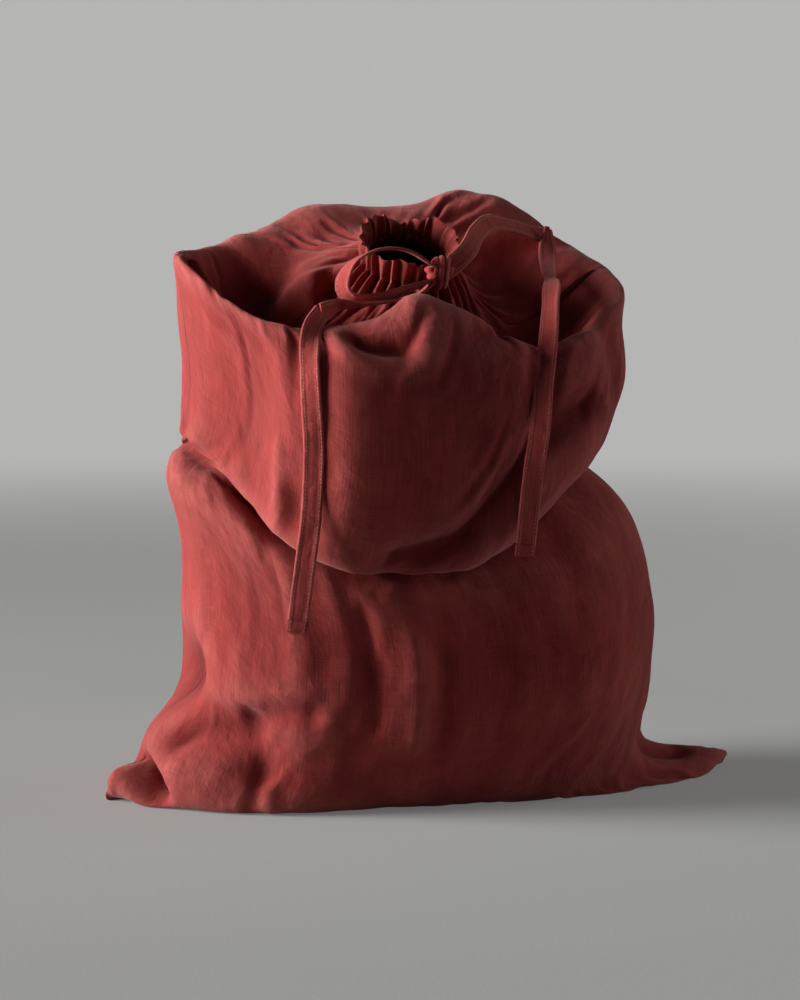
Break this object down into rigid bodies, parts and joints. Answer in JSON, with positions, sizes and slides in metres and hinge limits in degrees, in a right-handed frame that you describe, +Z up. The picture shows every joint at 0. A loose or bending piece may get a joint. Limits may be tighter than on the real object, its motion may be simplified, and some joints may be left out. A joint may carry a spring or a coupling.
{
  "type": "linen laundry bag",
  "caption": "Stuffed drawstring bag of linen, sagging in a fold at its waist, with a gathered mouth, hem casings, a bow and hanging ribbon ties",
  "frame": {"origin": "on the ground under the bag, in the middle of the stretch that it rests on", "axes": "+X to the viewer's right along the bottom seam, +Y to the back of the bag, +Z up"},
  "size_m": [0.5119, 0.2709, 0.467],
  "materials": {
    "linen": "washed plain weave linen, rust red",
    "ribbon": "flat folded linen ribbon, rust red"
  },
  "bodies": {
    "bag": {"front_panel": "linen", "back_panel": "linen", "left_side_seam": "linen", "right_side_seam": "linen", "bottom_seam": "linen", "front_casing": "linen", "back_casing": "linen", "drawstring_run": "ribbon", "drawstring_ends": "ribbon", "bow_knot": "ribbon", "left_tie_strap": "ribbon", "right_tie_strap": "ribbon"},
    "loop": {"bow_loop": "ribbon"},
    "left_tail": {"left_tie": "ribbon", "left_tie_hem": "ribbon"},
    "right_tail": {"right_tie": "ribbon", "right_tie_hem": "ribbon"}
  },
  "joints": [
    {"name": "loop_lift", "type": "hinge", "parent": "bag", "child": "loop", "pos_m": [0.008, -0.0615, 0.4028], "axis": [0, 1, 0], "range_deg": [0, 60]},
    {"name": "left_tail_lift", "type": "hinge", "parent": "bag", "child": "left_tail", "pos_m": [-0.0842, -0.1005, 0.3624], "axis": [-0.8996, 0.3778, 0.2189], "range_deg": [0, 75]},
    {"name": "right_tail_lift", "type": "hinge", "parent": "bag", "child": "right_tail", "pos_m": [0.1231, 0.0222, 0.4362], "axis": [-0.9854, -0.1152, 0.1252], "range_deg": [0, 75]}
  ]
}
